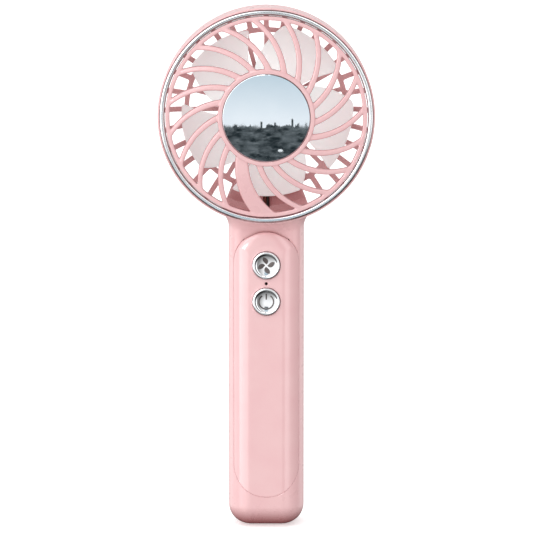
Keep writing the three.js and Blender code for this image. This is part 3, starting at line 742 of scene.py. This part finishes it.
def shade_cavities(tree, colour, depth):
    """The same colour with painted shade: darker where an occlusion mask finds other surfaces crowding
    in.
    """
    occlusion = tree.nodes.new("ShaderNodeAmbientOcclusion")
    occlusion.samples = 4
    occlusion.inputs["Distance"].default_value = CAVITY_SHADE_REACH
    surface = tree.nodes.new("ShaderNodeNewGeometry")
    tree.links.new(surface.outputs["True Normal"], occlusion.inputs["Normal"])
    amount = remap(tree, occlusion.outputs["AO"], *CAVITY_SHADE_RANGE, 1, 0)
    cavity_shade_colour = (1 - depth * 0.75, 1 - depth, 1 - depth, 1)
    return mix_colours(tree, amount, colour, cavity_shade_colour, "MULTIPLY")


def moulded(name, dark, light, roughness, coat=0.0, grain=0.02, depth=0.0):
    """Moulded plastic: slight mottling of colour and gloss, and a faint orange-peel surface. A depth
    above 0 adds painted shade in cavities and between parts.
    """
    material, tree, shader = new_material(name)
    colour = tinted(tree, noise(tree, 90), dark, light)
    # Painted shade: the occlusion mask darkens the base colour in cavities and between parts
    if depth:
        colour = shade_cavities(tree, colour, depth)
    tree.links.new(colour, shader.inputs["Base Color"])
    gloss = varied(tree, noise(tree, 260), roughness, 0.15)
    tree.links.new(gloss, shader.inputs["Roughness"])
    shader.inputs["Coat Weight"].default_value = coat
    shader.inputs["Coat Roughness"].default_value = 0.03
    add_bump(tree, shader, noise(tree, 700, 2), grain, 0.0004)
    return material


def metal(name, dark, light, roughness, grain=0.0):
    material, tree, shader = new_material(name)
    shader.inputs["Metallic"].default_value = 1
    tree.links.new(tinted(tree, noise(tree, 200), dark, light), shader.inputs["Base Color"])
    gloss = varied(tree, noise(tree, 500), roughness, 0.3)
    tree.links.new(gloss, shader.inputs["Roughness"])
    if grain:
        add_bump(tree, shader, noise(tree, 900, 2), grain, 0.0002)
    return material


def guard_plastic():
    """The shell's plastic with painted shade: darker on the side walls of the ribs, where faces turn
    edge-on to the view.
    """
    material = moulded("pink_guard_plastic", *PINK_TONES, 0.28, coat=0.2, depth=CAVITY_SHADE_DEPTH)
    tree = material.node_tree
    shader = tree.nodes["Principled BSDF"]
    colour = shader.inputs["Base Color"].links[0].from_socket
    # Painted shade: faces seen edge-on, such as the ribs' side walls, are tinted darker
    facing = tree.nodes.new("ShaderNodeLayerWeight").outputs["Facing"]
    edge_on = remap(tree, facing, 0.35, 0.85)
    shaded_walls = mix_colours(tree, edge_on, colour, RIB_WALL_SHADE_TINT, "MULTIPLY")
    tree.links.new(shaded_walls, shader.inputs["Base Color"])
    return material


def pearl_plastic():
    material = moulded("pearl_plastic", srgb(233, 241, 240), srgb(240, 247, 246), 0.42)
    shader = material.node_tree.nodes["Principled BSDF"]
    shader.inputs["Subsurface Weight"].default_value = 0.35
    shader.inputs["Subsurface Radius"].default_value = (1.0, 0.75, 0.8)
    shader.inputs["Subsurface Scale"].default_value = 0.0012
    # Painted light: a faint glow stands in for light from behind that comes through the thin blades
    shader.inputs["Emission Color"].default_value = srgb(240, 246, 246)
    shader.inputs["Emission Strength"].default_value = 0.33
    return material


def lens_plastic():
    """Dark plastic with little shine, as an unlit light looks."""
    material = moulded("led_lens", srgb(26, 8, 9), srgb(34, 10, 11), 0.45)
    shader = material.node_tree.nodes["Principled BSDF"]
    shader.inputs["Specular IOR Level"].default_value = 0.15
    return material


def mirror_glass():
    material, tree, shader = new_material("mirror_glass")
    shader.inputs["Metallic"].default_value = 1
    tint = tinted(tree, noise(tree, 60), srgb(238, 243, 247), srgb(243, 247, 250))
    tree.links.new(tint, shader.inputs["Base Color"])
    gloss = remap(tree, noise(tree, 300), *NOISE_RANGE, 0.0, 0.03)
    tree.links.new(gloss, shader.inputs["Roughness"])
    return material


PINK_TONES = (srgb(247, 198, 200), srgb(249, 203, 204))
PINK = moulded("pink_satin_plastic", *PINK_TONES, 0.3, coat=0.15, depth=CAVITY_SHADE_DEPTH)
GUARD_PINK = guard_plastic()
PANEL_PINK = moulded("pink_gloss_plastic", *PINK_TONES, 0.12, coat=0.5, grain=0.01)
PEARL = pearl_plastic()
CHROME = metal("bright_chrome", srgb(226, 228, 230), srgb(234, 236, 238), 0.07)
MIRROR = mirror_glass()
ICON = metal("icon_dark_chrome", srgb(104, 98, 97), srgb(118, 111, 110), 0.25)
LENS = lens_plastic()
STEEL = metal("nickel_steel", srgb(176, 178, 181), srgb(196, 198, 201), 0.3, 0.05)
BRONZE = metal("sintered_bronze", srgb(172, 136, 82), srgb(192, 156, 98), 0.45, 0.15)
COPPER = metal("enamelled_copper", srgb(164, 84, 44), srgb(190, 102, 58), 0.35, 0.1)
MAGNET = moulded("bonded_magnet", srgb(52, 52, 55), srgb(66, 66, 69), 0.6, grain=0.1)
BOARD = moulded("solder_mask", srgb(24, 84, 56), srgb(32, 98, 66), 0.35, coat=0.3)
BLACK = moulded("black_plastic", srgb(26, 26, 28), srgb(36, 36, 38), 0.45)
WHITE = moulded("white_plastic", srgb(236, 234, 228), srgb(244, 242, 236), 0.4)
FOAM = moulded("grey_foam", srgb(104, 104, 106), srgb(128, 128, 130), 0.9, grain=0.4)
WRAP = moulded("cell_wrap", srgb(48, 92, 146), srgb(58, 104, 160), 0.25, coat=0.3)
RED_WIRE = moulded("red_insulation", srgb(112, 58, 44), srgb(126, 66, 50), 0.5)
BLACK_WIRE = moulded("black_insulation", srgb(50, 46, 41), srgb(62, 58, 51), 0.5)

NODE_MATERIALS = {
    "steel": STEEL,
    "bronze": BRONZE,
    "copper": COPPER,
    "magnet": MAGNET,
    "board_green": BOARD,
    "black_plastic": BLACK,
    "white_plastic": WHITE,
    "foam": FOAM,
    "cell_wrap": WRAP,
    "wire_red": RED_WIRE,
    "wire_black": BLACK_WIRE,
    "pink_plastic": PINK,
    "pearl_plastic": PEARL,
    "chrome_trim": CHROME,
    "chrome_button": CHROME,
    "mirror_glass": MIRROR,
    "lens_red": LENS,
}


def dress(piece, body, material, slot, *nodes):
    piece.data.materials.clear()
    piece.data.materials.append(material)
    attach(piece, body)
    if nodes:
        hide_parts(*nodes)


def dress_cad_nodes():
    for part in frame["record"]["subparts"]:
        node = frame["nodes"][part["node"]]
        node.data.materials.clear()
        node.data.materials.append(NODE_MATERIALS[part["material_slot"]])


# ---- Pieces -----------------------------------------------------------------------------------------
def make_casing():
    """The four pink mouldings, each from its field at its own grid step and face count."""
    for name, field, low, high, step, faces, material, node in (
        ("front_shell_skin", front_shell_field, front_low, front_high, 0.42, 90_000, PINK, "front_shell"),
        ("rear_shell_skin", rear_shell_field, rear_low, rear_high, 0.38, 150_000, PINK, "rear_shell"),
        ("front_panel_skin", panel_field, panel_low, panel_high, 0.34, 50_000, PANEL_PINK, "front_panel"),
        ("guard_skin", guard_field, guard_low, guard_high, 0.28, 150_000, GUARD_PINK, "front_grille"),
    ):
        dress(mould(name, field, low, high, step, faces), "casing", material, "pink_plastic", node)


def make_trim():
    front, back = ring_low[1], ring_high[1]
    inner = RING_R - 1.9
    profile = [
        (RING_R, back), (RING_R, front + 0.5), (RING_R - 0.35, front), (inner + 0.55, front + 0.08),
        (inner, front + 0.7), (inner, back),
    ]
    ring = turned("chrome_trim", rounded(profile, 0.18, 6), AXIS_Z, 288)
    dress(ring, "casing", CHROME, "chrome_trim", "chrome_ring")
    front, back = mirror_low[1], mirror_high[1]
    edge = [(0, front), (MIRROR_R - 0.2, front), (MIRROR_R, front + 0.2), (MIRROR_R, back), (0, back)]
    mirror = turned("mirror_disc", edge, AXIS_Z, 192, 20)
    dress(mirror, "casing", MIRROR, "mirror_glass", "mirror")
    front, back, radius = cap_low[1], cap_high[1], cap_high[0]
    profile = [
        (0, back - 0.1), (6.8, back - 0.12), (7.1, back - 0.4), (7.4, back - 0.4),
        (7.7, back - 0.16), (9.3, back - 0.25), (radius, back - 0.8), (radius, front), (0, front),
    ]
    cap = turned("hub_cap", rounded(profile, 0.25), AXIS_Z)
    dress(cap, "casing", PINK, "pink_plastic", "rear_hub_cap")


def make_rotor():
    blades = mould("fan_blades", impeller_field, blades_low, blades_high, 0.36, 90_000)
    dress(blades, "rotor", PEARL, "pearl_plastic", "impeller")


def button_profile(front):
    """A chromed cap: flat rim, shallow dish and a stem behind."""
    stem = [(0, front + 6.2), (1.8, front + 6.2), (1.8, front + 2.2), (BUTTON_R, front + 2.2)]
    rim = [
        (BUTTON_R, front + 0.35), (BUTTON_R - 0.08, front + 0.12), (BUTTON_R - 0.3, front + 0.02),
        (BUTTON_R - 0.5, front), (4.9, front), (4.74, front + 0.04), (4.62, front + 0.12),
        (DISH_R + 0.1, front + 0.38),
    ]
    dish = [(radius, dish_depth(front, radius)) for radius in np.linspace(DISH_R, 0, 14)]
    return [*stem, *rim, *dish]


def dish_depth(front, radius):
    """The dish of a button cap, deepest in its middle."""
    return front + DISH_DEPTH - DISH_CURVE * (radius / DISH_R) ** 2


def inlay(name, outlines, front, centre_z):
    """Thin printed shapes that follow the button's dish, as one mesh."""
    shape = bmesh.new()
    for outline in outlines:
        sides = []
        for lift in (-ICON_RISE, ICON_SINK):
            side = []
            for x, z in outline:
                depth = dish_depth(front, math.hypot(x, z)) + lift
                side.append(shape.verts.new((x * MM, depth * MM, (centre_z + z) * MM)))
            sides.append(side)
        near, far = sides
        half = len(outline) // 2
        for i in range(half - 1):
            j = len(outline) - 1 - i
            shape.faces.new((near[i], near[i + 1], near[j - 1], near[j]))
            shape.faces.new((far[j], far[j - 1], far[i + 1], far[i]))
        for i in range(len(outline)):
            k = (i + 1) % len(outline)
            shape.faces.new((near[k], near[i], far[i], far[k]))
    bmesh.ops.recalc_face_normals(shape, faces=shape.faces)
    mesh = bpy.data.meshes.new(name)
    shape.to_mesh(mesh)
    shape.free()
    return new_object(name, mesh)


def band(inner, outer):
    """An outline whose two long sides face each other, as inlay needs."""
    return inner + outer[::-1]


def fan_icon_outlines():
    """Leaf-shaped blades round a small gap, each turning a little as it goes out."""
    outlines = []
    for i in range(ICON_BLADES):
        near = []
        far = []
        for t in np.linspace(0, 1, 18):
            reach = 0.5 + 3.1 * t
            middle = math.radians(360 / ICON_BLADES * i - 6 + 26 * t)
            half = 0.12 + 0.92 * math.sin(math.pi * t ** 1.25) ** 0.8
            for side, sign in ((near, -1), (far, 1)):
                turn = middle + sign * half / max(reach, 0.9)
                side.append((reach * math.cos(turn), reach * math.sin(turn)))
        outlines.append(band(near, far))
    return outlines


def power_icon_outlines():
    """An open ring and a short upright bar in its gap."""
    angles = np.radians(np.linspace(90 + ICON_RING_GAP, 450 - ICON_RING_GAP, 48))
    inner, outer = ([(r * math.cos(a), r * math.sin(a)) for a in angles] for r in ICON_RING)
    heights = np.linspace(*ICON_BAR_ENDS, 8)
    left = [(-ICON_BAR_HALF_WIDTH, z) for z in heights]
    right = [(ICON_BAR_HALF_WIDTH, z) for z in heights]
    return [band(inner, outer), band(left, right)]


def make_buttons():
    icons = {"speed": fan_icon_outlines(), "power": power_icon_outlines()}
    for name, low, high in (("speed", speed_low, speed_high), ("power", power_low, power_high)):
        centre = (low[2] + high[2]) / 2
        front = low[1]
        cap = turned(f"{name}_cap", button_profile(front), centre, 96, 60)
        dress(cap, f"{name}_button", CHROME, "chrome_button", f"{name}_button")
        icon = inlay(f"{name}_icon", icons[name], front, centre)
        dress(icon, f"{name}_button", ICON, "chrome_button")


def make_led():
    """A low domed lens in the pinhole between the buttons."""
    centre = (led_low[2] + led_high[2]) / 2
    front, back, radius = led_low[1], led_high[1], led_high[0]
    dome = []
    for angle in np.linspace(0, 1.57, 8):
        dome.append((radius * math.sin(angle), front + radius * 0.5 * (1 - math.cos(angle))))
    lens = turned("led_light", [*dome, (radius, back), (0, back)], centre, 32)
    dress(lens, "casing", LENS, "lens_red", "led_lens")


# ---- Studio -----------------------------------------------------------------------------------------
def make_camera():
    """A long lens a little above the fan, aimed at the middle of its height."""
    data = bpy.data.cameras.new("camera")
    data.sensor_width = 36
    data.lens = CAMERA_LENS
    data.shift_x = 0.0004
    made = new_object("camera", data)
    towards = Vector((0, -math.cos(CAMERA_ELEVATION), math.sin(CAMERA_ELEVATION)))
    made.location = Vector(CAMERA_AIM) + CAMERA_DISTANCE * towards
    made.rotation_euler = (math.pi / 2 - CAMERA_ELEVATION, 0, 0)
    bpy.context.scene.camera = made


def add_strips(tree, azimuth):
    """Brightness by direction round the fan, from the stops in STUDIO_STRIPS."""
    ramp = tree.nodes.new("ShaderNodeValToRGB")
    elements = ramp.color_ramp.elements
    elements.remove(elements[1])
    brightest = max(level for _, level in STUDIO_STRIPS)
    for i, (degrees, level) in enumerate(STUDIO_STRIPS):
        place = (degrees + 180) / 360
        element = elements[0] if i == 0 else elements.new(place)
        element.position = place
        element.color = (level / brightest, level / brightest, level / brightest, 1)
    turn = add_math(tree, "MULTIPLY_ADD", azimuth, 1 / (2 * math.pi))
    turn.node.inputs[2].default_value = 0.5
    tree.links.new(turn, ramp.inputs["Fac"])
    return add_math(tree, "MULTIPLY", ramp.outputs["Color"], brightest)


def add_window(tree, direction):
    """A small bright window high on the left, for the sharp glints on shoulders and rims."""
    towards = tree.nodes.new("ShaderNodeVectorMath")
    towards.operation = "DOT_PRODUCT"
    turn, rise = (math.radians(angle) for angle in WINDOW_DIRECTION)
    aim = (-math.sin(turn) * math.cos(rise), -math.cos(turn) * math.cos(rise), math.sin(rise))
    towards.inputs[1].default_value = aim
    tree.links.new(direction, towards.inputs[0])
    outside = math.cos(math.radians(WINDOW_HALF_ANGLE + 2))
    inside = math.cos(math.radians(WINDOW_HALF_ANGLE - 2))
    return remap(tree, towards.outputs["Value"], outside, inside, 0, WINDOW_LEVEL, "SMOOTHSTEP")


def reflected_level(tree, direction, x, y, z):
    """What reflections see: strips that fade low down, and the small window."""
    forward = add_math(tree, "MULTIPLY", y, -1.0)
    strips = add_strips(tree, add_math(tree, "ARCTAN2", x, forward))
    fade = remap(tree, z, *FADE_HEIGHTS, FADE_LEVEL, 1, "SMOOTHSTEP")
    glossy = add_math(tree, "MULTIPLY", strips, fade)
    return add_math(tree, "ADD", glossy, add_window(tree, direction))


def diffuse_level(tree, x, y, z):
    """Soft light from all round, with a little more from the left, the front and above."""
    side = add_math(tree, "MULTIPLY", x, -DIFFUSE_FROM_LEFT)
    above = add_math(tree, "MULTIPLY", z, DIFFUSE_FROM_ABOVE)
    front = add_math(tree, "MULTIPLY", y, -DIFFUSE_FROM_FRONT)
    level = add_math(tree, "ADD", add_math(tree, "ADD", side, above), DIFFUSE_LEVEL)
    return add_math(tree, "ADD", level, front)


def make_world():
    """A white studio, which reflections and soft light each see in their own way."""
    world = bpy.data.worlds.new("studio")
    bpy.context.scene.world = world
    world.use_nodes = True
    tree = world.node_tree
    place = tree.nodes.new("ShaderNodeTexCoord")
    split = tree.nodes.new("ShaderNodeSeparateXYZ")
    tree.links.new(place.outputs["Generated"], split.inputs["Vector"])
    x, y, z = (split.outputs[axis] for axis in "XYZ")
    path = tree.nodes.new("ShaderNodeLightPath")
    level = tree.nodes.new("ShaderNodeMix")
    tree.links.new(path.outputs["Is Glossy Ray"], level.inputs["Factor"])
    tree.links.new(diffuse_level(tree, x, y, z), level.inputs["A"])
    glossy = reflected_level(tree, place.outputs["Generated"], x, y, z)
    tree.links.new(glossy, level.inputs["B"])
    seen = tree.nodes.new("ShaderNodeMix")
    tree.links.new(path.outputs["Is Camera Ray"], seen.inputs["Factor"])
    tree.links.new(level.outputs["Result"], seen.inputs["A"])
    seen.inputs["B"].default_value = 1.0
    tree.links.new(seen.outputs["Result"], tree.nodes["Background"].inputs["Strength"])
    tree.nodes["Background"].inputs["Color"].default_value = (1, 1, 1, 1)


def towers(tree, across):
    """A few narrow blocks that stand above the skyline."""
    block = add_math(tree, "SNAP", across, TOWER_WIDTH)
    chance = tree.nodes.new("ShaderNodeTexWhiteNoise")
    chance.noise_dimensions = "1D"
    tree.links.new(block, chance.inputs["W"])
    share = add_math(tree, "POWER", chance.outputs["Value"], TOWER_RARITY)
    return add_math(tree, "MULTIPLY", share, TOWER_HEIGHT)


def pond(tree, across, up):
    """One where a small pale pond lies in the dark ground."""
    squares = []
    for place, centre, reach in zip((across, up), POND_CENTRE, POND_REACH):
        offset = add_math(tree, "DIVIDE", add_math(tree, "SUBTRACT", place, centre), reach)
        squares.append(add_math(tree, "MULTIPLY", offset, offset))
    return add_math(tree, "LESS_THAN", add_math(tree, "ADD", *squares), 1.0)


def skyline(tree, across):
    """How high the land stands, on the scale where the card's middle is 0."""
    row = tree.nodes.new("ShaderNodeTexNoise")
    row.noise_dimensions = "1D"
    row.inputs["Scale"].default_value = 130
    row.inputs["Detail"].default_value = 9
    row.inputs["Roughness"].default_value = 0.72
    tree.links.new(across, row.inputs["W"])
    jagged = add_math(tree, "SUBTRACT", row.outputs["Fac"], 0.5)
    roofs = add_math(tree, "MULTIPLY", jagged, ROOF_HEIGHT)
    return add_math(tree, "SUBTRACT", add_math(tree, "ADD", roofs, towers(tree, across)), HORIZON_DROP)


def land_colour(tree, place):
    squash = tree.nodes.new("ShaderNodeMapping")
    squash.inputs["Scale"].default_value = (0.45, 1, 1.3)
    tree.links.new(place, squash.inputs["Vector"])
    ground = tree.nodes.new("ShaderNodeTexNoise")
    ground.inputs["Scale"].default_value = 380
    ground.inputs["Detail"].default_value = 9
    ground.inputs["Roughness"].default_value = 0.7
    tree.links.new(squash.outputs["Vector"], ground.inputs["Vector"])
    return colour_ramp(
        tree, ground.outputs["Fac"], (0.42, srgb(28, 38, 42)), (0.8, srgb(138, 146, 150))
    )


def landscape_material():
    """A made-up view for the mirror: pale sky over a dark, broken skyline."""
    material = bpy.data.materials.new("landscape")
    material.use_nodes = True
    tree = material.node_tree
    tree.nodes.remove(tree.nodes["Principled BSDF"])
    place = object_place(tree)
    split = tree.nodes.new("ShaderNodeSeparateXYZ")
    tree.links.new(place, split.inputs["Vector"])
    across, up = split.outputs["X"], split.outputs["Z"]
    height = add_math(tree, "DIVIDE", add_math(tree, "SUBTRACT", up, CARD_Z), CARD_HALF)
    sky = colour_ramp(
        tree, add_math(tree, "DIVIDE", height, SKY_HEIGHT),
        (0, srgb(241, 247, 252)), (1 / SKY_HEIGHT, srgb(194, 213, 224)), (1, srgb(150, 176, 196)),
    )
    is_land = add_math(tree, "LESS_THAN", height, skyline(tree, across))
    view = mix_colours(tree, is_land, sky, land_colour(tree, place))
    view = mix_colours(tree, pond(tree, across, up), view, srgb(240, 244, 246))
    glow = tree.nodes.new("ShaderNodeEmission")
    tree.links.new(view, glow.inputs["Color"])
    tree.links.new(glow.outputs["Emission"], tree.nodes["Material Output"].inputs["Surface"])
    return material


def add_sheet(name, corners, material):
    """A flat four-cornered sheet that soft light passes by."""
    mesh = bpy.data.meshes.new(name)
    mesh.from_pydata(corners, [], [(0, 1, 2, 3)])
    sheet = new_object(name, mesh)
    sheet.data.materials.append(material)
    sheet.visible_diffuse = False
    return sheet


def floor_material():
    material, tree, shader = new_material("pale_floor")
    tint = tinted(tree, noise(tree, 4), srgb(250, 250, 250), srgb(253, 253, 253))
    tree.links.new(tint, shader.inputs["Base Color"])
    shader.inputs["Roughness"].default_value = 0.9
    shader.inputs["Emission Color"].default_value = (1, 1, 1, 1)
    shader.inputs["Emission Strength"].default_value = FLOOR_GLOW
    return material


def make_floor():
    """A pale floor just under the fan, which reflections don't show."""
    half, z = FLOOR_HALF, FLOOR_Z
    corners = [(-half, -half, z), (half, -half, z), (half, half, z), (-half, half, z)]
    floor = add_sheet("floor", corners, floor_material())
    floor.visible_glossy = False


def make_key_light():
    """A soft square light, high on the left."""
    place = Vector(KEY_PLACE)
    aim = Vector(KEY_AIM)
    data = bpy.data.lights.new("key", "AREA")
    data.shape = "RECTANGLE"
    data.size, data.size_y = KEY_SIZE, KEY_SIZE
    data.energy = KEY_WATTS
    made = new_object("key", data)
    made.location = place
    made.rotation_euler = (aim - place).to_track_quat("-Z", "Y").to_euler()


def make_mirror_view():
    """The card that the mirror reflects, with the sky carried up for lower views."""
    low, high = CARD_Z - CARD_HALF, CARD_Z + SKY_HEIGHT * CARD_HALF
    half = CARD_HALF
    corners = [(-half, CARD_Y, low), (half, CARD_Y, low), (half, CARD_Y, high), (-half, CARD_Y, high)]
    card = add_sheet("mirror_view", corners, landscape_material())
    card.visible_camera = False
    card.visible_shadow = False


# ---- Scene ------------------------------------------------------------------------------------------
bpy.context.scene.view_settings.view_transform = "Standard"
make_camera()
dress_cad_nodes()
make_casing()
make_trim()
make_rotor()
make_buttons()
make_led()
make_world()
make_floor()
make_key_light()
make_mirror_view()
